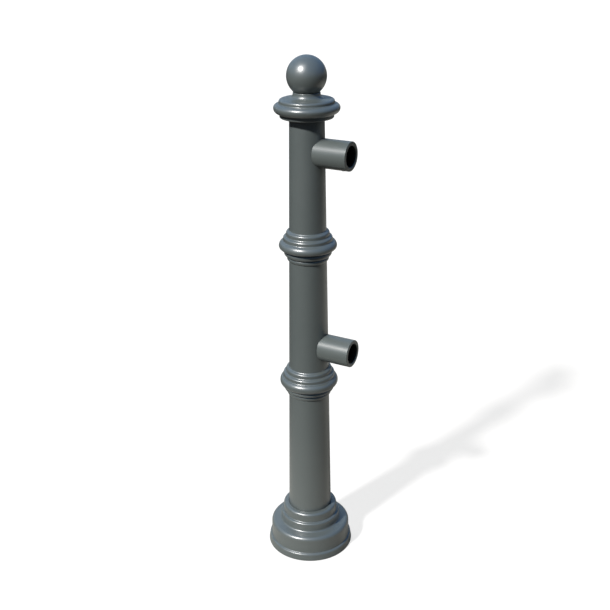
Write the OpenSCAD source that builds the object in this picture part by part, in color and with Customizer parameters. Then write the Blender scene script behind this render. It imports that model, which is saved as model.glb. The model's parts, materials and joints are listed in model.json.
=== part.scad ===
// Floor-fixed barrier end post: a cast, tapering shaft in three sections over a steel core tube,
// with a ball finial, two mouldings, a slip-on base bell and two rail sockets.
// Millimetres, +Z up. The origin is the centre of the post on the ground. Rails leave along +X.

/* [Shaft] */
// Shaft radius where its taper would meet the ground
shaft_foot_r = 49.8; // [49.4:0.1:50.4]
// Radius lost per metre of height
shaft_taper = 14.7; // [13.5:0.1:15.5]
// Wall of the cast shaft sections
shaft_wall = 6.5; // [5.5:0.5:7]
// Height of the cap's underside
cap_z = 993.7; // [988:0.1:1002]

/* [Mouldings] */
// Height of the upper moulding's top edge
upper_ring_z = 764; // [755:1:775]
// Height of the lower moulding's top edge
lower_ring_z = 453; // [445:1:458]
// Height of each moulding
ring_h = 67.5; // [64:0.5:70]
// How far the upper moulding's main bead stands out of the shaft
upper_bead_out = 21.2; // [19.4:0.2:23]
// How far the lower moulding's main bead stands out of the shaft
lower_bead_out = 19.6; // [19.4:0.2:23]
// How far the upper main bead reaches below its widest line
upper_bead_drop = 7.4; // [7:0.2:10.6]
// How far the lower main bead reaches below its widest line
lower_bead_drop = 10; // [7:0.2:10.6]

/* [Finial] */
// Ball radius
ball_r = 39.7; // [38.5:0.1:41]
// Smallest radius of the neck
neck_r = 27.3; // [26.7:0.1:28]
// Thread pitch of the finial stud
stud_pitch = 2; // [1:0.5:2]

/* [Base] */
// Radius of the foot of the base bell
foot_r = 94.8; // [94:0.2:98]
// Height of the base bell
bell_h = 102; // [100:1:104]
// Wall of the base bell
bell_wall = 5.5; // [5:0.5:6]
// Pitch circle diameter of the anchor holes
anchor_pcd = 128; // [126:1:130]
// Radius of the anchor holes
anchor_hole_r = 7; // [6:0.5:7.5]

/* [Rail sockets] */
// Height of the upper rail
upper_rail_z = 926; // [910:1:935]
// Height of the lower rail
lower_rail_z = 503; // [495:1:520]
// Reach of the upper socket from the post's axis
upper_reach = 98; // [94:1:108]
// Reach of the lower socket from the post's axis
lower_reach = 106; // [102:1:116]
// Outer radius of a socket at its mouth
socket_r = 29.4; // [29:0.2:31]
// Bore radius of a socket, for a 42.4 mm rail
rail_bore_r = 21.5; // [21.3:0.05:22]

/* [Hidden] */
$fn = 96;
eps = 1;
slip = 0.1;
thread_gap = 0.05;
arc_steps = 10;
paint = [0.30, 0.33, 0.34];
satin = [0.46, 0.48, 0.48];
steel = [0.62, 0.63, 0.64];
rubber = [0.09, 0.09, 0.09];

// Core, base plate and gasket
gasket_t = 3;
plate_t = 12;
plate_r = 81;
plate_top = gasket_t + plate_t;
spigot_h = 6;
spigot_wall = 8;
core_r = 24.15;
core_wall = 4;
core_top = cap_z - 6;

// Shaft joints, each halfway down a moulding
upper_joint_z = upper_ring_z - ring_h * 0.46;
lower_joint_z = lower_ring_z - ring_h * 0.46;
joint_depth = 12;
joint_wall = 4.8;

// Cap and finial
shaft_in_cap = 6;
cap_gasket_t = 1.5;
neck_top = cap_z + 49.3;
nut_seat = neck_top - 20;
nut_room_r = 16;
stud_r = 8;
stud_turns = 12;
stud_top = neck_top + stud_turns * stud_pitch;
seal_t = 1.5;
seal_in_r = 17;
seal_out_r = 22;
foot_gap = 0.2;
ball_foot = neck_top + foot_gap;
foot_depth = 30.65;
ball_z = ball_foot + foot_depth;

// Sockets
bevel = 6;
blunt = 5;
root_end = 18;
bore_floor = 48;
head_seat = 35;
screw_side = 10;
m6_r = 3;
m8_r = 4;
head_room_r = 7;
washer_t = 2;
rail_screw_back = 16;
rail_screw_len = 8;

// Set screws at the back of the post
back_angles = [75, 165];
screw_drop = 34;
bell_screw_drop = 35;
set_screw_len = 16;

function shaft_r(z) = shaft_foot_r - shaft_taper * z / 1000;
function bore_in(z) = shaft_r(z) - shaft_wall;

// Points along an elliptical arc about [cx, cz]
function arc(cx, cz, rx, rz, a0, a1) =
    [for (i = [0:arc_steps])
        let (a = a0 + (a1 - a0) * i / arc_steps) [cx + rx * cos(a), cz + rz * sin(a)]];

// Outline of a half-round bead between two heights
function bead(r_in, r_out, z_high, z_low) =
    arc(r_in, (z_high + z_low) / 2, r_out - r_in, (z_high - z_low) / 2, 84, -84);

module m_set_screw(r, len, key_r) {
    difference() {
        cylinder(r = r, h = len);
        translate([0, 0, len - len / 3]) cylinder(r = key_r, h = len, $fn = 6);
    }
}

// Places children on the back of the post, pointing outwards from the axis
module at_back(z) {
    for (a = back_angles) rotate([0, 0, a]) translate([0, 0, z]) rotate([0, 90, 0]) children();
}

// Shell of the shaft between two heights, with a recess for a sleeve at each joint
module shaft_section(z0, z1, joint_low, joint_high) {
    low = joint_low ? [[shaft_r(z0) - joint_wall, z0], [shaft_r(z0) - joint_wall, z0 + joint_depth],
        [bore_in(z0 + joint_depth), z0 + joint_depth]] : [[bore_in(z0), z0]];
    high = joint_high ? [[bore_in(z1 - joint_depth), z1 - joint_depth],
        [shaft_r(z1) - joint_wall, z1 - joint_depth], [shaft_r(z1) - joint_wall, z1]] : [[bore_in(z1), z1]];
    rotate_extrude() polygon(concat([[shaft_r(z1), z1], [shaft_r(z0), z0]], low, high));
}

module joint_sleeve(z) {
    play = 0.2;
    outer = shaft_r(z) - joint_wall - slip;
    difference() {
        translate([0, 0, z - joint_depth + play]) cylinder(r = outer, h = 2 * (joint_depth - play));
        translate([0, 0, z - joint_depth - eps]) cylinder(r = core_r + slip, h = 2 * joint_depth + 2 * eps);
    }
}

// Five-bead moulding that slips over the shaft from above: two rounded steps with a cove above
// each, the main bead, and two half-round beads below it
module moulding(z_top, out, drop) {
    unit = ring_h / 67;
    s = shaft_r(z_top - ring_h / 2);
    difference() {
        rotate_extrude() polygon(concat(
            [[shaft_r(z_top) + slip, z_top]],
            arc(s + 2.6, z_top, 2.2, 2.2 * unit, 200, 265),
            arc(s + 2.6, z_top - 7.2 * unit, 3.4, 4.6 * unit, 75, 0),
            [[s + 6, z_top - 10.6 * unit]],
            arc(s + 8.2, z_top - 10.9 * unit, 2.2, 2.4 * unit, 182, 262),
            arc(s + 8.5, z_top - 17.4 * unit, 3.7, 3.9 * unit, 78, 0),
            [[s + 12.2, z_top - 20.6 * unit]],
            arc(s + 14.6, z_top - 21 * unit, 2.4, 2.4 * unit, 182, 262),
            arc(s + out - 9, z_top - 34.1 * unit, 9, 10.6 * unit, 68, 0),
            arc(s + out - 9, z_top - 34.1 * unit, 9, drop * unit, -8, -84),
            bead(s + 5.2, s + 10.8, z_top - (34.8 + drop) * unit, z_top - 55.2 * unit),
            bead(s + 0.8, s + 4.7, z_top - 55.9 * unit, z_top - 65.6 * unit),
            [[shaft_r(z_top - ring_h) + slip, z_top - ring_h]]));
        at_back(z_top - screw_drop * unit)
            translate([0, 0, core_r]) cylinder(r = m6_r + thread_gap, h = 2 * core_r);
    }
}

// Outside of a socket along its own axis; gap widens it for the hole in the shaft
function socket_outline(reach, z, gap) =
    let (edge = sqrt(pow(shaft_r(z), 2) - pow(socket_r, 2)) + blunt - gap)
    [[0, root_end - gap], [socket_r - bevel + gap, root_end - gap],
        [socket_r - bevel + gap, edge - bevel], [socket_r + gap, edge], [socket_r + gap, reach]];

module along_rail(z) {
    translate([0, 0, z]) rotate([0, 90, 0]) children();
}

// Places children on the axes of both sockets' fixing screws
module at_socket_screws(levels = [upper_rail_z, lower_rail_z]) {
    for (z = levels, side = [-screw_side, screw_side]) along_rail(z) translate([0, side, 0]) children();
}

module socket_hole(reach, z) {
    along_rail(z) rotate_extrude() polygon(concat(socket_outline(reach, z, slip), [[0, reach]]));
}

module rail_socket(reach, z) {
    lip = 1.2;
    screw_x = reach - rail_screw_back;
    difference() {
        along_rail(z) rotate_extrude() polygon(concat(
            [for (p = socket_outline(reach, z, 0)) if (p[1] < reach) p],
            arc(socket_r - lip, reach - lip, lip, lip, 0, 90),
            [[rail_bore_r + lip, reach], [rail_bore_r, reach - lip], [rail_bore_r, bore_floor],
                [0, bore_floor]]));
        at_socket_screws([z]) {
            cylinder(r = m8_r + 0.3, h = reach);
            translate([0, 0, head_seat]) cylinder(r = head_room_r, h = reach);
        }
        translate([0, 0, z - socket_r - bevel]) cylinder(r = core_r + slip, h = 2 * (socket_r + bevel));
        translate([screw_x, 0, z - socket_r - bevel]) cylinder(r = m8_r + thread_gap, h = socket_r + bevel);
    }
}

module rail_screw(reach, z) {
    translate([reach - rail_screw_back, 0, z - rail_bore_r - 0.6]) rotate([180, 0, 0])
        m_set_screw(m8_r, rail_screw_len, 2.3);
}

module ball_finial() {
    color(paint) difference() {
        translate([0, 0, ball_z]) sphere(r = ball_r);
        translate([0, 0, ball_foot - 2 * ball_r]) cylinder(r = ball_r, h = 2 * ball_r);
        translate([0, 0, ball_foot - eps])
            cylinder(r = stud_r + thread_gap, h = stud_top - ball_foot + 4 + eps);
        translate([0, 0, ball_foot - eps]) difference() {
            cylinder(r = seal_out_r + slip, h = seal_t - foot_gap + slip + eps);
            translate([0, 0, -eps]) cylinder(r = seal_in_r - slip, h = seal_t + 3 * eps);
        }
    }
}

// Square ring that lies in the groove of the ball's foot
module finial_seal() {
    color(rubber) translate([0, 0, neck_top]) difference() {
        cylinder(r = seal_out_r, h = seal_t);
        translate([0, 0, -eps]) cylinder(r = seal_in_r, h = seal_t + 2 * eps);
    }
}

module finial_stud() {
    color(steel) translate([0, 0, core_top - 20]) cylinder(r = stud_r, h = stud_top - core_top + 20);
}

module clamp_nut() {
    nut_h = 13;
    nut_corner_r = 13.8;
    color(steel) translate([0, 0, nut_seat + 3]) difference() {
        cylinder(r = nut_corner_r, h = nut_h, $fn = 6);
        translate([0, 0, -eps]) cylinder(r = stud_r + thread_gap, h = nut_h + 2 * eps);
    }
}

module clamp_washer() {
    color(steel) translate([0, 0, nut_seat]) difference() {
        cylinder(r = nut_room_r - 1, h = 3);
        translate([0, 0, -eps]) cylinder(r = stud_r + 0.5, h = 3 + 2 * eps);
    }
}

// One casting: neck, sloping top with a rounded edge, torus, and the lower ring over the shaft
module cap() {
    roof = cap_z + shaft_in_cap + cap_gasket_t;
    bore = shaft_r(cap_z) + 0.2;
    color(paint) rotate_extrude() polygon(concat(
        [[nut_room_r, neck_top], [neck_r - 1, neck_top], [neck_r, neck_top - 1]],
        arc(neck_r + 7.2, neck_top - 2, 7.2, 9.6, 180, 266),
        [[48.5, cap_z + 36.8]],
        arc(48.5, cap_z + 32.2, 6.6, 4.6, 88, 0),
        arc(56.8, cap_z + 29.4, 1.7, 1.7, 182, 250),
        arc(55.6, cap_z + 19.4, 10.3, 8.6, 76, 0),
        arc(55.6, cap_z + 19.4, 10.3, 10.8, -8, -86),
        [[53.8, cap_z + 8.2], [53.8, cap_z + 2.5]],
        arc(51.3, cap_z + 2.5, 2.5, 2.5, -10, -90),
        [[bore, cap_z], [bore, roof], [28, roof], [28, roof + 8], [20, nut_seat - 6],
            [stud_r + 0.5, nut_seat - 6], [stud_r + 0.5, nut_seat], [nut_room_r, nut_seat]]));
}

module cap_gasket() {
    z = cap_z + shaft_in_cap;
    color(rubber) translate([0, 0, z]) difference() {
        cylinder(r = shaft_r(z) - 0.4, h = cap_gasket_t);
        translate([0, 0, -eps]) cylinder(r = bore_in(z), h = cap_gasket_t + 2 * eps);
    }
}

module top_plug() {
    plug_h = 22;
    flange_h = 4;
    color(steel) translate([0, 0, core_top - plug_h]) difference() {
        union() {
            cylinder(r = core_r - core_wall - thread_gap, h = plug_h + flange_h);
            translate([0, 0, plug_h]) cylinder(r = core_r, h = flange_h);
        }
        translate([0, 0, -eps]) cylinder(r = stud_r + thread_gap, h = plug_h + flange_h + 2 * eps);
    }
}

module upper_shaft() {
    color(paint) difference() {
        shaft_section(upper_joint_z, cap_z + shaft_in_cap, true, false);
        socket_hole(upper_reach, upper_rail_z);
    }
}

module upper_sleeve() {
    color(steel) joint_sleeve(upper_joint_z);
}

module upper_ring() {
    color(paint) moulding(upper_ring_z, upper_bead_out, upper_bead_drop);
}

module middle_shaft() {
    color(paint) difference() {
        shaft_section(lower_joint_z, upper_joint_z, true, true);
        socket_hole(lower_reach, lower_rail_z);
    }
}

module lower_sleeve() {
    color(steel) joint_sleeve(lower_joint_z);
}

module lower_ring() {
    color(paint) moulding(lower_ring_z, lower_bead_out, lower_bead_drop);
}

module lower_shaft() {
    color(paint) shaft_section(plate_top, lower_joint_z, false, true);
}

module ring_screws() {
    drop = screw_drop * ring_h / 67;
    color(steel) for (z = [upper_ring_z - drop, lower_ring_z - drop])
        at_back(z) translate([0, 0, shaft_r(z) + slip]) m_set_screw(m6_r, set_screw_len, 1.7);
}

module core_tube() {
    color(steel) difference() {
        translate([0, 0, gasket_t]) cylinder(r = core_r, h = core_top - gasket_t);
        translate([0, 0, gasket_t - eps]) cylinder(r = core_r - core_wall, h = core_top);
        at_socket_screws() cylinder(r = m8_r + 0.3, h = 2 * core_r);
    }
}

module upper_socket() {
    color(satin) rail_socket(upper_reach, upper_rail_z);
}

module lower_socket() {
    color(satin) rail_socket(lower_reach, lower_rail_z);
}

module socket_screws() {
    head_h = 8;
    tip_x = 8;
    color(steel) at_socket_screws() difference() {
        union() {
            translate([0, 0, tip_x]) cylinder(r = m8_r, h = head_seat + washer_t - tip_x);
            translate([0, 0, head_seat + washer_t]) cylinder(r = head_room_r - 0.5, h = head_h);
        }
        translate([0, 0, head_seat + washer_t + head_h / 2]) cylinder(r = 3.4, h = head_h, $fn = 6);
    }
}

module socket_washers() {
    color(steel) at_socket_screws() translate([0, 0, head_seat]) difference() {
        cylinder(r = head_room_r - 0.3, h = washer_t);
        translate([0, 0, -eps]) cylinder(r = m8_r + 0.4, h = washer_t + 2 * eps);
    }
}

module socket_inserts() {
    block_h = 36;
    back_x = 4;
    r = core_r - core_wall - thread_gap;
    color(steel) difference() {
        for (z = [upper_rail_z, lower_rail_z]) difference() {
            translate([0, 0, z - block_h / 2]) cylinder(r = r, h = block_h);
            translate([back_x - 2 * r, -r, z - block_h / 2 - eps]) cube([2 * r, 2 * r, block_h + 2 * eps]);
        }
        at_socket_screws() cylinder(r = m8_r + thread_gap, h = 2 * core_r);
    }
}

module upper_rail_screw() {
    color(steel) rail_screw(upper_reach, upper_rail_z);
}

module lower_rail_screw() {
    color(steel) rail_screw(lower_reach, lower_rail_z);
}

// Stepped bell: collar ring, second ring, sloping shoulder, bell wall and foot. The top of its
// bore follows the shaft's taper
module base_bell() {
    clear = 0.35;
    lift = 0.5;
    collar_z = bell_h - 14;
    ring1_r = shaft_r(bell_h) + 12.7;
    ring2_r = ring1_r + 6;
    wall_r = foot_r - 4.8;
    foot_round = 3.4;
    foot_flare = 1.8;
    color(paint) difference() {
        rotate_extrude() polygon(concat(
            [[shaft_r(bell_h) + clear, bell_h], [shaft_r(bell_h) + 1.4, bell_h]],
            arc(ring1_r - 6.3, bell_h - 7, 6.3, 6.4, 86, 0),
            [[ring1_r, bell_h - 20]],
            arc(ring1_r + 2, bell_h - 20.3, 2, 2, 182, 262),
            arc(ring2_r - 4, bell_h - 26.6, 4, 4.2, 82, 0),
            [[ring2_r, bell_h - 38.9]],
            arc(ring2_r + 5, bell_h - 39, 5, 5, 182, 262),
            [[wall_r - 10, bell_h - 45.4]],
            arc(wall_r - 9.4, bell_h - 54.6, 9, 9.2, 86, 0),
            [[wall_r, 18.8]],
            arc(wall_r + 1.6, 18.2, 1.6, 1.6, 182, 262),
            arc(foot_r - foot_round, 10.8, foot_round, 5.6, 86, 0),
            [[foot_r + foot_flare, lift], [foot_r - bell_wall, lift], [foot_r - bell_wall, 10],
                [wall_r - bell_wall, 15], [wall_r - bell_wall, bell_h - 56.4],
                [wall_r - 2 * bell_wall, bell_h - 51], [ring2_r - bell_wall, bell_h - 48.6],
                [ring2_r - bell_wall, bell_h - 30.4], [ring1_r - bell_wall, bell_h - 26],
                [ring1_r - bell_wall, collar_z - 3], [shaft_r(collar_z) + clear, collar_z]]));
        at_back(bell_h - bell_screw_drop) cylinder(r = m6_r + thread_gap, h = foot_r);
    }
}

module bell_screws() {
    z = bell_h - bell_screw_drop;
    color(steel) at_back(z) translate([0, 0, shaft_r(z) + 0.4]) m_set_screw(m6_r, set_screw_len, 1.7);
}

module anchor_holes(r, h) {
    for (a = [45:90:315])
        rotate([0, 0, a]) translate([anchor_pcd / 2, 0, -eps]) cylinder(r = r, h = h + 2 * eps);
}

module base_plate() {
    spigot_r = bore_in(plate_top + spigot_h) - slip;
    color(steel) translate([0, 0, gasket_t]) difference() {
        union() {
            cylinder(r = plate_r, h = plate_t);
            cylinder(r = spigot_r, h = plate_t + spigot_h);
        }
        translate([0, 0, plate_t]) cylinder(r = spigot_r - spigot_wall, h = spigot_h + eps);
        translate([0, 0, -eps]) cylinder(r = core_r + thread_gap, h = plate_t + 2 * eps);
        anchor_holes(anchor_hole_r, plate_t);
    }
}

module ground_gasket() {
    color(rubber) difference() {
        cylinder(r = plate_r, h = gasket_t);
        anchor_holes(anchor_hole_r + 1, gasket_t);
    }
}

ball_finial();
finial_seal();
finial_stud();
clamp_nut();
clamp_washer();
cap();
cap_gasket();
top_plug();
upper_shaft();
upper_sleeve();
upper_ring();
middle_shaft();
lower_sleeve();
lower_ring();
lower_shaft();
ring_screws();
core_tube();
upper_socket();
lower_socket();
socket_screws();
socket_washers();
socket_inserts();
upper_rail_screw();
lower_rail_screw();
base_bell();
bell_screws();
base_plate();
ground_gasket();
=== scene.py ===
import json
import math

import bmesh
import bpy
from mathutils import Matrix, Vector


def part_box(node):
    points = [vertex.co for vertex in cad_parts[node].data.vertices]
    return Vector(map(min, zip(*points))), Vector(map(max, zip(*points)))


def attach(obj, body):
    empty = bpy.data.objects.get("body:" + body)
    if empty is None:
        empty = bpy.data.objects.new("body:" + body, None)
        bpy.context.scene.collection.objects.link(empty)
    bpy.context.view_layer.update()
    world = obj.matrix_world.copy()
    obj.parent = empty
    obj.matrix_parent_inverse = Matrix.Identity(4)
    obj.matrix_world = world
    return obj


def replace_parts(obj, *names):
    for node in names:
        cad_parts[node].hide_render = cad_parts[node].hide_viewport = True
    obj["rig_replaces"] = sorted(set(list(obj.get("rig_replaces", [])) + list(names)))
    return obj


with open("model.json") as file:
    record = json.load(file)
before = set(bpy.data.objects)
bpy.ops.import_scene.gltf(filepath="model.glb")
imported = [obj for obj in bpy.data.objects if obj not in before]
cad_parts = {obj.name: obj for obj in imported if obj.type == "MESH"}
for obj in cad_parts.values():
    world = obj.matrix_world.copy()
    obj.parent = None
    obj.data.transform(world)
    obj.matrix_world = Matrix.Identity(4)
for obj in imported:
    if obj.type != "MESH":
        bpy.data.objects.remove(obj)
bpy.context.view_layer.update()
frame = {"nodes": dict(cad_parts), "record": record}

# Every length in this script is in metres unless its name ends in _mm or _MM.
MM = 0.001
NODES = frame["nodes"]

# ------------------------------------------------------------------------------------------------
# Turned castings. Each is a fine, softened copy of the outline that the CAD node has: the node is
# cut along a half-plane through its axis, and the cut is rounded like thick paint and turned again.
# ------------------------------------------------------------------------------------------------
STEPS_ROUND = 160
CLEAR_SIDE = math.radians(-100)      # a direction in which no casting has a hole
CORNER = math.radians(24)            # outline points that turn by less belong to a round stretch
SHORT_SIDE = 1 * MM                  # a corner between shorter sides is part of a round stretch
OUTLINE_STEP = 0.3 * MM
FLATNESS = 0.006 * MM
WELD = 1e-6                          # vertices closer than this are one
ON_PLANE = 1e-7                      # vertices closer than this to a cutting plane lie on it
RING_DECIMALS = 6                    # edge circles are told apart to a micrometre
ON_AXIS = 1e-5                       # a smaller radius is on the axis
SAME_POINT = 2e-5                    # outline points closer than this are one
SAME_HEIGHT = 2e-6                   # an outline point takes the radius of an edge circle that
SAME_RADIUS = 0.3 * MM               # is this close to it in height and in radius


def turning_frame(origin, axis, towards):
    """Matrix that takes the row frame to one where axis is +Z and towards is +X, at origin."""
    z = Vector(axis).normalized()
    x = Vector(towards).normalized()
    y = z.cross(x)
    turned = Matrix((x, y, z)).to_4x4()
    return turned @ Matrix.Translation(-Vector(origin))


def half_plane_cut(node, to_turning):
    """Ordered (radius, height) points of a node's outline on the +X half-plane."""
    bm = bmesh.new()
    bm.from_mesh(NODES[node].data)
    bm.transform(to_turning)
    bmesh.ops.remove_doubles(bm, verts=bm.verts, dist=WELD)
    rings = {}
    for v in bm.verts:
        height, radius = round(v.co.z, RING_DECIMALS), round(v.co.xy.length, RING_DECIMALS)
        rings.setdefault(height, set()).add(radius)
    everything = bm.verts[:] + bm.edges[:] + bm.faces[:]
    cut = bmesh.ops.bisect_plane(bm, geom=everything, dist=ON_PLANE, plane_co=(0, 0, 0),
                                 plane_no=(0, 1, 0), clear_inner=True, clear_outer=True)
    edges = [e for e in cut["geom_cut"] if isinstance(e, bmesh.types.BMEdge)]
    edges = [e for e in edges if all(v.co.x > -WELD for v in e.verts)]
    points = ordered_points(edges)
    bm.free()
    closed = math.dist(points[0], points[-1]) < SAME_POINT
    kept = on_rings(points, rings)
    return kept if closed else ended_on_axis(kept)


def ended_on_axis(points):
    """Carries an open outline straight in to the axis at both ends, where it crosses a flat face
    that has no vertex on the axis."""
    first = [Vector((0, points[0].y))] if points[0].x > ON_AXIS else []
    last = [Vector((0, points[-1].y))] if points[-1].x > ON_AXIS else []
    return first + points + last


def ordered_points(edges):
    """Walks the cut's edges from the axis, or from anywhere on a closed outline."""
    links = {}
    for e in edges:
        for v in e.verts:
            links.setdefault(v, []).append(e)
    ends = [v for v, es in links.items() if len(es) == 1]
    at = max(ends, key=lambda v: v.co.z) if ends else max(links, key=lambda v: v.co.x)
    points, used = [at.co.copy()], set()
    while True:
        onward = [e for e in links[at] if e not in used]
        if not onward:
            return [(p.x, p.z) for p in points]
        used.add(onward[0])
        at = onward[0].other_vert(at)
        points.append(at.co.copy())


def on_rings(points, rings):
    """Keeps the points where the cut crosses an edge circle, at that circle's true radius, and any
    other sharp corner as it is."""
    kept = []
    for i, (r, z) in enumerate(points):
        near = [(abs(ring_r - r), ring_r, ring_z) for ring_z in rings
                if abs(ring_z - z) < SAME_HEIGHT for ring_r in rings[ring_z]]
        if near and min(near)[0] < SAME_RADIUS:
            point = Vector(min(near)[1:])
        elif is_corner(points, i):
            point = Vector((r, z))
        else:
            continue
        if not kept or (kept[-1] - point).length > SAME_POINT:
            kept.append(point)
    if len(kept) > 2 and (kept[0] - kept[-1]).length < SAME_POINT:
        kept.append(kept.pop())
    return kept


def is_corner(points, i):
    here = Vector(points[i])
    before = here - Vector(points[i - 1])
    after = Vector(points[(i + 1) % len(points)]) - here
    return min(before.length, after.length) > SHORT_SIDE and before.angle(after) > CORNER


def through_points(points):
    """Rounds an outline's smooth stretches: a cubic through the points, straight at its corners."""
    closed = (points[0] - points[-1]).length < SAME_POINT
    count = len(points)

    def tangent(i, own):
        if closed:
            before, after = points[(i - 1) % (count - 1)], points[(i + 1) % (count - 1)]
        elif 0 < i < count - 1:
            before, after = points[i - 1], points[i + 1]
        else:
            return own
        here = points[i % (count - 1)] if closed else points[i]
        if (here - before).angle(after - here, 0) > CORNER:
            return own
        return (after - before).normalized()

    curve = []
    for i in range(count - 1):
        a, b = points[i], points[i + 1]
        own = (b - a).normalized()
        length = (b - a).length
        ta, tb = tangent(i, own) * length, tangent(i + 1, own) * length
        pieces = max(1, math.ceil(length / OUTLINE_STEP))
        for k in range(pieces):
            t = k / pieces
            curve.append(a * (2 * t ** 3 - 3 * t ** 2 + 1) + ta * (t ** 3 - 2 * t ** 2 + t)
                         + b * (3 * t ** 2 - 2 * t ** 3) + tb * (t ** 3 - t ** 2))
    if not closed:
        curve.append(points[-1].copy())
    return curve, closed


def softened(curve, closed, softness):
    """Rounds the corners of a finely stepped outline with a bell-shaped average along it, which
    is cut off at three times its width."""
    reach = math.ceil(3 * softness / OUTLINE_STEP)
    weights = [math.exp(-0.5 * (k * OUTLINE_STEP / softness) ** 2)
               for k in range(-reach, reach + 1)]
    total = sum(weights)
    count = len(curve)
    soft = []
    for i in range(count):
        if not closed and (i < reach or i >= count - reach):
            soft.append(curve[i])
            continue
        mean = Vector((0, 0))
        for k, weight in zip(range(-reach, reach + 1), weights):
            mean += curve[(i + k) % count] * (weight / total)
        soft.append(mean)
    return soft


def thinned(curve, longest):
    """Drops outline points that lie within FLATNESS of a straight line between their neighbours."""
    kept, start = [curve[0]], 0
    while start < len(curve) - 1:
        end = start + 1
        while end + 1 < len(curve):
            a, b = curve[start], curve[end + 1]
            along = (b - a).normalized()
            off = max(abs((p - a).cross(along)) for p in curve[start + 1:end + 1])
            if off > FLATNESS or (b - a).length > longest:
                break
            end += 1
        kept.append(curve[end])
        start = end
    return kept


def turned_mesh(name, points, closed, from_turning):
    """Turns an outline about +Z and takes the result to the row frame."""
    bm = bmesh.new()
    rows = []
    for r, z in points:
        if r < ON_AXIS:
            rows.append([bm.verts.new((0, 0, z))])
            continue
        turns = [2 * math.pi * k / STEPS_ROUND for k in range(STEPS_ROUND)]
        rows.append([bm.verts.new((r * math.cos(a), r * math.sin(a), z)) for a in turns])
    if closed:
        rows.append(rows[0])
    for low, high in zip(rows, rows[1:]):
        for k in range(STEPS_ROUND):
            m = (k + 1) % STEPS_ROUND
            corners = [low[k % len(low)], low[m % len(low)],
                       high[m % len(high)], high[k % len(high)]]
            corners = [v for i, v in enumerate(corners) if v not in corners[:i]]
            bm.faces.new(corners)
    bm.transform(from_turning)
    bmesh.ops.recalc_face_normals(bm, faces=bm.faces)
    for face in bm.faces:
        face.smooth = True
    mesh = bpy.data.meshes.new(name)
    bm.to_mesh(mesh)
    bm.free()
    return mesh


def new_piece(name, mesh):
    piece = bpy.data.objects.new(name, mesh)
    bpy.context.scene.collection.objects.link(piece)
    return piece


def stand_for(node, mesh):
    """Shows a mesh instead of a CAD node, riding on the node's body."""
    piece = new_piece(node + "_casting", mesh)
    bodies = frame["record"]["behaviour"]["bodies"]
    body = next(name for name, members in bodies.items() if node in members)
    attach(piece, body)
    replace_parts(piece, node)
    return piece


def turned_casting(node, softness, longest=40 * MM):
    """Fine copy of a CAD node turned about the post's axis, standing for it on the same body. No
    facet is longer than longest along the outline."""
    towards = (math.cos(CLEAR_SIDE), math.sin(CLEAR_SIDE), 0)
    to_turning = turning_frame((0, 0, 0), (0, 0, 1), towards)
    curve, closed = through_points(half_plane_cut(node, to_turning))
    points = thinned(softened(curve, closed, softness), longest)
    return stand_for(node, turned_mesh(node, points, closed, to_turning.inverted()))


def solids_of(node):
    """Box centres of a node's separate solids, in the same order each run."""
    bm = bmesh.new()
    bm.from_mesh(NODES[node].data)
    bmesh.ops.remove_doubles(bm, verts=bm.verts, dist=WELD)
    left, centres = set(bm.verts), []
    while left:
        front, island = [left.pop()], []
        while front:
            v = front.pop()
            island.append(v.co.copy())
            for e in v.link_edges:
                other = e.other_vert(v)
                if other in left:
                    left.discard(other)
                    front.append(other)
        low = [min(p[i] for p in island) for i in range(3)]
        high = [max(p[i] for p in island) for i in range(3)]
        centres.append((Vector(low) + Vector(high)) / 2)
    bm.free()
    return sorted(centres, key=tuple)


def rod_cutter(radius, start, direction, length):
    """A closed rod used only to cut a hole."""
    rod = turned_mesh("rod", [Vector((0, 0)), Vector((radius, 0)), Vector((radius, length)),
                              Vector((0, length))], False,
                      Matrix.Translation(start) @ Vector(direction).to_track_quat("Z", "Y")
                      .to_matrix().to_4x4())
    return new_piece("cutter", rod)


def cut_from(piece, cutter):
    """Takes the cutter's shape out of a piece and throws the cutter away."""
    modifier = piece.modifiers.new("cut", "BOOLEAN")
    modifier.operation = "DIFFERENCE"
    modifier.solver = "EXACT"
    modifier.object = cutter
    bpy.context.view_layer.update()
    evaluated = piece.evaluated_get(bpy.context.evaluated_depsgraph_get())
    mesh = bpy.data.meshes.new_from_object(evaluated)
    piece.modifiers.remove(modifier)
    piece.data = mesh
    cutter_mesh = cutter.data
    bpy.data.objects.remove(cutter)
    bpy.data.meshes.remove(cutter_mesh)


DRILL_START_MM = 30       # from the post's axis, inside the bores of the mouldings and the bell
DRILL_LENGTH = 90 * MM    # ends outside the widest casting


def drill_set_screws(piece, screws, radius):
    """Holes for the set screws that lie within the piece's height, from each screw outwards."""
    heights = [v.co.z for v in piece.data.vertices]
    for centre in solids_of(screws):
        if min(heights) < centre.z < max(heights):
            outwards = Vector((centre.x, centre.y, 0)).normalized()
            start = Vector((0, 0, centre.z)) + outwards * DRILL_START_MM * MM
            cut_from(piece, rod_cutter(radius, start, outwards, DRILL_LENGTH))


def keep_edges_crisp(piece, angle=32):
    """Shades smooth everywhere but across edges sharper than angle."""
    mesh = piece.data
    mesh.shade_smooth()
    mesh.set_sharp_from_angle(angle=math.radians(angle))


BORE_FLOOR = 48 * MM      # distance of a socket's bore floor from the post's axis
SEAT_REACH = 60 * MM      # past the shaft's surface, where the cut for a socket may end
FIT = 0.1 * MM            # slack round a socket in the shaft, and within which heights are equal
SAME_CIRCLE = 0.03 * MM   # radii closer than this belong to one circle


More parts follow.
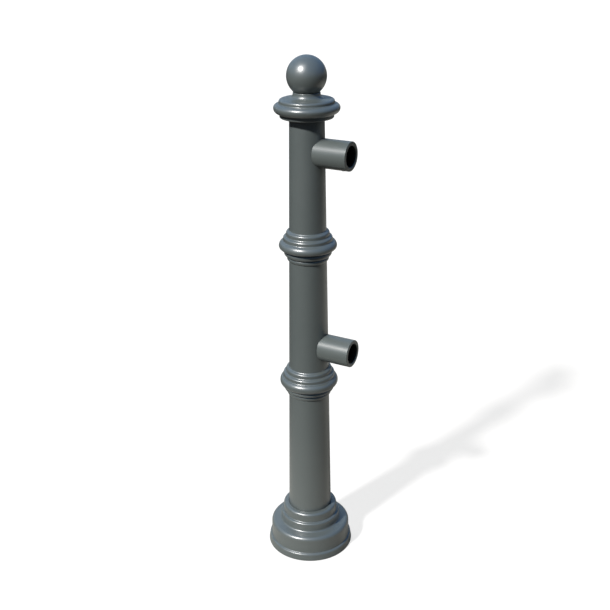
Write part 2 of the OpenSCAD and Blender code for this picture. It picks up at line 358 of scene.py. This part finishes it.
def socket_outline(node):
    """Outline of a socket about the rail's axis down to its root, and the rail's height. The CAD
    node itself is shown, so the outline only shapes the socket's seat in the shaft."""
    low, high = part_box(node)
    rail_z = (low.z + high.z) / 2
    to_turning = turning_frame((0, 0, rail_z), (1, 0, 0), (0, 0, 1))
    outline = half_plane_cut(node, to_turning)
    saddle = min(p.y for p in outline)
    corners = [to_turning @ v.co for v in NODES[node].data.vertices]
    root_radius = max(c.xy.length for c in corners if c.z < low.x + FIT / 2)
    bevel_end = max(c.z for c in corners
                    if abs(c.xy.length - root_radius) < SAME_CIRCLE and c.z < BORE_FLOOR)
    outline = [p for p in outline if p.y > saddle + FIT]
    if outline[-1].x > root_radius + FIT:
        outline.append(Vector((root_radius, bevel_end)))
    return outline + [Vector((root_radius, low.x)), Vector((0, low.x))], rail_z


def open_shaft_for(shaft, outline, rail_z):
    """Cuts the socket's seat through the shaft's wall."""
    root = min(p.y for p in outline)
    root_radius = max(p.x for p in outline if p.y < root + FIT)
    outside = sorted((p for p in outline if p.x > root_radius - FIT and p.y < SEAT_REACH),
                     key=lambda p: p.y)
    profile = [Vector((0, root - FIT))] + [Vector((p.x + FIT, p.y - FIT)) for p in outside]
    profile += [Vector((profile[-1].x, SEAT_REACH)), Vector((0, SEAT_REACH))]
    back = turning_frame((0, 0, rail_z), (1, 0, 0), (0, 0, 1)).inverted()
    cut_from(shaft, new_piece("cutter", turned_mesh("seat", profile, False, back)))


ball = turned_casting("ball_finial", softness=0.5 * MM)
cap = turned_casting("cap", softness=0.42 * MM)
rings = {node: turned_casting(node, softness=0.4 * MM) for node in ("upper_ring", "lower_ring")}
bell = turned_casting("base_bell", softness=0.5 * MM)
shafts = {node: turned_casting(node, softness=0.35 * MM, longest=6 * MM)
          for node in ("upper_shaft", "middle_shaft", "lower_shaft")}
for socket_node, shaft_node in (("upper_socket", "upper_shaft"), ("lower_socket", "middle_shaft")):
    open_shaft_for(shafts[shaft_node], *socket_outline(socket_node))
SCREW_HOLE_RADIUS = 3.05 * MM        # of an M6 set screw, with a little clearance
for ring in rings.values():
    drill_set_screws(ring, "ring_screws", SCREW_HOLE_RADIUS)
drill_set_screws(bell, "bell_screws", SCREW_HOLE_RADIUS)
castings = [ball, cap, bell, *rings.values(), *shafts.values()]
for piece in castings:
    keep_edges_crisp(piece)


# ------------------------------------------------------------------------------------------------
# Materials, all made of nodes. Textures are laid out in the row frame's metres.
# ------------------------------------------------------------------------------------------------
MIX_A, MIX_B, MIX_RESULT = 6, 7, 2   # a Mix node's colour sockets, which share names with others
SHELTER_SAMPLES = 12                 # fewer leave dark flecks


class Recipe:
    """A node material under construction, built round one Principled shader."""

    def __init__(self, name):
        self.material = bpy.data.materials.new(name)
        self.material.use_nodes = True
        self.nodes = self.material.node_tree.nodes
        self.links = self.material.node_tree.links
        self.shader = self.nodes["Principled BSDF"]
        self.place = self.nodes.new("ShaderNodeTexCoord").outputs["Object"]

    def feed(self, socket, value):
        if isinstance(value, bpy.types.NodeSocket):
            self.links.new(value, socket)
        elif hasattr(socket.default_value, "__len__") and len(value) == 3 and socket.type == "RGBA":
            socket.default_value = (*value, 1)
        else:
            socket.default_value = value

    def set(self, **inputs):
        """Feeds the shader's inputs; Base_Color stands for Base Color."""
        for name, value in inputs.items():
            self.feed(self.shader.inputs[name.replace("_", " ")], value)

    def noise(self, scale, detail=2, roughness=0.5, at=None):
        node = self.nodes.new("ShaderNodeTexNoise")
        node.inputs["Scale"].default_value = scale
        node.inputs["Detail"].default_value = detail
        node.inputs["Roughness"].default_value = roughness
        self.links.new(at or self.place, node.inputs["Vector"])
        return node.outputs["Fac"]

    def stretched(self, x, y, z):
        """Places for a texture whose grain is drawn out along an axis."""
        node = self.nodes.new("ShaderNodeMapping")
        node.inputs["Scale"].default_value = (x, y, z)
        self.links.new(self.place, node.inputs["Vector"])
        return node.outputs["Vector"]

    def remap(self, value, low, high, to_low, to_high):
        node = self.nodes.new("ShaderNodeMapRange")
        for i, v in enumerate((value, low, high, to_low, to_high)):
            self.feed(node.inputs[i], v)
        return node.outputs["Result"]

    def math(self, operation, a, b):
        node = self.nodes.new("ShaderNodeMath")
        node.operation = operation
        self.feed(node.inputs[0], a)
        self.feed(node.inputs[1], b)
        return node.outputs[0]

    def mix(self, amount, a, b):
        node = self.nodes.new("ShaderNodeMix")
        node.data_type = "RGBA"
        self.feed(node.inputs["Factor"], amount)
        self.feed(node.inputs[MIX_A], a)
        self.feed(node.inputs[MIX_B], b)
        return node.outputs[MIX_RESULT]

    def edges(self):
        """0 in hollows, 0.5 on flats, 1 on edges."""
        return self.nodes.new("ShaderNodeNewGeometry").outputs["Pointiness"]

    def shelter(self, distance):
        """1 in the open, towards 0 in crevices narrower than distance."""
        node = self.nodes.new("ShaderNodeAmbientOcclusion")
        node.samples = SHELTER_SAMPLES
        node.only_local = False
        node.inputs["Distance"].default_value = distance
        return node.outputs["AO"]

    def bump(self, height, depth, under=None):
        """Normal of a surface whose height of 0 to 1 stands for depth in metres."""
        node = self.nodes.new("ShaderNodeBump")
        node.inputs["Strength"].default_value = 1
        node.inputs["Distance"].default_value = depth
        self.links.new(height, node.inputs["Height"])
        if under:
            self.links.new(under, node.inputs["Normal"])
        return node.outputs["Normal"]


def gloss_paint():
    """Two-coat anthracite gloss on cast metal: orange peel over a faintly uneven casting."""
    m = Recipe("gloss_paint")
    tone = m.mix(m.noise(14, 4), (0.087, 0.105, 0.105), (0.101, 0.118, 0.118))
    # Painted shade: the colour darkens towards near black in creases narrower than 14 mm.
    tone = m.mix(m.remap(m.shelter(14 * MM), 0.15, 0.8, 0.45, 0), tone, (0.03, 0.034, 0.034))
    specks = m.math("MULTIPLY", m.remap(m.edges(), 0.6, 0.72, 0, 1),
                    m.remap(m.noise(260, 3), 0.56, 0.66, 0, 1))
    tone = m.mix(m.math("MULTIPLY", specks, 0.3), tone, (0.2, 0.21, 0.21))
    wave = m.bump(m.noise(30, 1), 0.03 * MM)
    peel = m.bump(m.noise(420, 1.5), 0.006 * MM, wave)
    # Painted shade as well: the coat fades where there is cover within 60 mm, so less is reflected
    # under the cap and in the mouldings.
    m.set(Base_Color=tone, Roughness=m.remap(m.noise(60, 3), 0.3, 0.7, 0.4, 0.5), Normal=wave,
          Specular_IOR_Level=0.2, Coat_IOR=1.9,
          Coat_Weight=m.remap(m.shelter(60 * MM), 0.4, 0.85, 0.2, 1),
          Coat_Roughness=m.remap(m.noise(90, 3), 0.3, 0.7, 0.32, 0.38),
          Coat_Normal=peel)
    return m.material


def satin_paint():
    """The same colour sprayed thinner on the turned sockets, so that fine turning rings show."""
    m = Recipe("satin_paint")
    tone = m.mix(m.noise(22, 4), (0.092, 0.11, 0.109), (0.109, 0.127, 0.125))
    # Painted shade: the colour darkens towards near black in creases narrower than 14 mm.
    tone = m.mix(m.remap(m.shelter(14 * MM), 0.1, 0.8, 0.6, 0), tone, (0.03, 0.034, 0.032))
    # Painted shade: deep in the bores the colour goes near black, and the shine and coat fade.
    painted_bore_shade = m.remap(m.shelter(60 * MM), 0.35, 0.6, 1, 0)
    tone = m.mix(painted_bore_shade, tone, (0.012, 0.012, 0.014))
    specks = m.math("MULTIPLY", m.remap(m.edges(), 0.54, 0.62, 0, 1),
                    m.remap(m.noise(300, 3), 0.45, 0.6, 0, 1))
    tone = m.mix(m.math("MULTIPLY", specks, 0.6), tone, (0.34, 0.35, 0.34))
    turning = m.bump(m.noise(1, 3, at=m.stretched(900, 20, 20)), 0.01 * MM)
    peel = m.bump(m.noise(500, 2), 0.006 * MM, turning)
    m.set(Base_Color=tone, Roughness=m.remap(m.noise(80, 3), 0.3, 0.7, 0.34, 0.44), Normal=peel,
          Specular_IOR_Level=m.remap(painted_bore_shade, 0, 1, 0.5, 0.1),
          Coat_Weight=m.remap(painted_bore_shade, 0, 1, 0.3, 0), Coat_Roughness=0.3)
    return m.material


def plain_steel():
    """Zinc-plated steel: mottled bright grey with drawn marks, and painted shade in its hollows."""
    m = Recipe("plain_steel")
    tone = m.mix(m.noise(70, 5, 0.6), (0.42, 0.43, 0.45), (0.62, 0.63, 0.62))
    # Painted shade: the colour darkens in hollows narrower than 8 mm.
    tone = m.mix(m.remap(m.shelter(8 * MM), 0.1, 0.8, 0.6, 0), tone, (0.16, 0.16, 0.155))
    drawn = m.bump(m.noise(1, 3, at=m.stretched(700, 700, 30)), 0.008 * MM)
    m.set(Base_Color=tone, Metallic=1.0, Normal=drawn,
          Roughness=m.remap(m.noise(120, 4), 0.3, 0.7, 0.28, 0.46))
    return m.material


def black_rubber():
    """Moulded black rubber with a fine matt grain and a little dust."""
    m = Recipe("black_rubber")
    dust = m.remap(m.noise(45, 5, 0.65), 0.5, 0.8, 0, 0.35)
    m.set(Base_Color=m.mix(dust, (0.018, 0.018, 0.019), (0.075, 0.072, 0.066)),
          Roughness=m.remap(m.noise(150, 3), 0.3, 0.7, 0.6, 0.85),
          Normal=m.bump(m.noise(900, 2), 0.03 * MM))
    return m.material


finishes = {make.__name__: make() for make in (gloss_paint, satin_paint, plain_steel, black_rubber)}
slot_of = {part["node"]: part["material_slot"] for part in frame["record"]["subparts"]}
for node, obj in NODES.items():
    obj.data.materials.clear()
    obj.data.materials.append(finishes[slot_of[node]])
for piece in castings:
    slot = slot_of[piece["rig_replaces"][0]]
    piece.data.materials.clear()
    piece.data.materials.append(finishes[slot])


# ------------------------------------------------------------------------------------------------
# Stage: pale floor, soft studio light, and the camera.
# ------------------------------------------------------------------------------------------------
def floor():
    """Pale to the camera, with light of its own so that shadows on it stay faint. In the object's
    reflections it has two bright patches, round the foot and behind on the right. It is dim
    otherwise."""
    size = 20
    mesh = bpy.data.meshes.new("floor")
    corners = [(-size, -size, 0), (size, -size, 0), (size, size, 0), (-size, size, 0)]
    mesh.from_pydata(corners, [], [(0, 1, 2, 3)])
    obj = new_piece("floor", mesh)
    m = Recipe("floor")
    pale = m.mix(m.noise(2.5, 3), (0.27, 0.27, 0.275), (0.3, 0.3, 0.305))
    path = m.nodes.new("ShaderNodeLightPath")
    seen = path.outputs["Is Camera Ray"]

    def patch(centre, inner, outer):
        """1 within inner of a place on the floor, 0 beyond outer."""
        away = m.nodes.new("ShaderNodeVectorMath")
        away.operation = "DISTANCE"
        m.links.new(m.place, away.inputs[0])
        away.inputs[1].default_value = centre
        return m.remap(away.outputs["Value"], inner, outer, 1, 0)

    # Painted light: pools of light in the floor's colour, seen only in the object's reflections.
    bright = m.math("MAXIMUM", patch(centre=(0, 0, 0), inner=0.3, outer=0.8),
                    patch(centre=(0.7, 1.7, 0), inner=1.1, outer=2.3))
    pool = m.mix(bright, (0.016, 0.016, 0.015), (0.34, 0.34, 0.32))
    lit = m.mix(path.outputs["Is Glossy Ray"], (0.045, 0.043, 0.037), pool)
    m.set(Base_Color=m.mix(seen, lit, pale), Roughness=0.9, Specular_IOR_Level=0.1,
          Emission_Color=(1, 1, 1), Emission_Strength=m.math("MULTIPLY", seen, 0.72))
    mesh.materials.append(m.material)


def sky():
    """White to the camera. In reflections it is blue overhead and dark along the horizon, with a
    low pale screen behind the object. To matt surfaces it is dim, with a bright screen behind."""
    world = bpy.data.worlds.new("studio")
    bpy.context.scene.world = world
    world.use_nodes = True
    nodes, links = world.node_tree.nodes, world.node_tree.links

    def mixed(amount, a, b):
        node = nodes.new("ShaderNodeMix")
        node.data_type = "RGBA"
        links.new(amount, node.inputs["Factor"])
        for socket, value in ((node.inputs[MIX_A], a), (node.inputs[MIX_B], b)):
            if isinstance(value, bpy.types.NodeSocket):
                links.new(value, socket)
            else:
                socket.default_value = (*value, 1)
        return node.outputs[MIX_RESULT]

    def towards(direction, low, high):
        """0 to 1 as a ray's direction turns towards the given one."""
        dot = nodes.new("ShaderNodeVectorMath")
        dot.operation = "DOT_PRODUCT"
        links.new(nodes.new("ShaderNodeTexCoord").outputs["Generated"], dot.inputs[0])
        dot.inputs[1].default_value = Vector(direction).normalized()
        smooth = nodes.new("ShaderNodeMapRange")
        smooth.interpolation_type = "SMOOTHSTEP"
        links.new(dot.outputs["Value"], smooth.inputs[0])
        smooth.inputs[1].default_value = low
        smooth.inputs[2].default_value = high
        return smooth.outputs["Result"]

    horizon = mixed(towards((0.3, 0.95, 0), 0.25, 0.85), (0.015, 0.017, 0.018), (0.36, 0.36, 0.3))
    low_blue = mixed(towards((0.7, 0.5, 0.5), 0.5, 0.92), (0.21, 0.32, 0.47), (0.05, 0.16, 0.4))
    low_sky = mixed(towards((0, 0, 1), 0.02, 0.2), horizon, low_blue)
    dome = mixed(towards((0, 0, 1), 0.25, 0.6), low_sky, (0.07, 0.24, 0.54))
    behind = mixed(towards((0.1, 1, 0.1), 0.25, 0.85), (0.028, 0.03, 0.032), (1.05, 1.06, 1))
    matt = mixed(towards((0, 0, 1), 0.25, 0.7), behind, (0.028, 0.03, 0.032))
    path = nodes.new("ShaderNodeLightPath")
    light = mixed(path.outputs["Is Glossy Ray"], matt, dome)
    light = mixed(path.outputs["Is Camera Ray"], light, (0.93, 0.93, 0.93))
    links.new(light, nodes["Background"].inputs["Color"])


def direction_to(azimuth, elevation):
    """Unit vector towards a place round the object; azimuth 0 is in front, 90 is on the right."""
    a, e = math.radians(azimuth), math.radians(elevation)
    return Vector((math.sin(a) * math.cos(e), -math.cos(a) * math.cos(e), math.sin(e)))


def distant_light(name, azimuth, elevation, strength, spread, color, glints=True):
    """Parallel light from one side; spread is the width of its source in degrees. Without glints
    it leaves no highlights."""
    data = bpy.data.lights.new(name, "SUN")
    data.energy = strength
    data.angle = math.radians(spread)
    data.color = color
    obj = bpy.data.objects.new(name, data)
    bpy.context.scene.collection.objects.link(obj)
    obj.rotation_euler = direction_to(azimuth, elevation).to_track_quat("Z", "Y").to_euler()
    obj.visible_glossy = glints


def camera():
    azimuth, tilt, pan, roll = (math.radians(a) for a in (29.01, 22.965, 0.232, 0.578))
    distance, height, lens_mm = 1.8136, 1.3627, 54.637
    data = bpy.data.cameras.new("camera")
    data.lens = lens_mm
    obj = bpy.data.objects.new("camera", data)
    bpy.context.scene.collection.objects.link(obj)
    obj.location = (distance * math.sin(azimuth), -distance * math.cos(azimuth), height)
    look = Matrix.Rotation(azimuth + pan, 3, "Z") @ Matrix.Rotation(math.pi / 2 - tilt, 3, "X")
    obj.rotation_euler = (look @ Matrix.Rotation(-roll, 3, "Z")).to_euler()
    bpy.context.scene.camera = obj


floor()
sky()
distant_light("key", azimuth=-15, elevation=42, strength=4.9, spread=5, color=(1.0, 0.975, 0.94))
distant_light("rear_fill", azimuth=-135, elevation=28, strength=1.8, spread=50,
              color=(1.0, 1.0, 0.97), glints=False)
camera()
bpy.context.scene.view_settings.view_transform = "Standard"
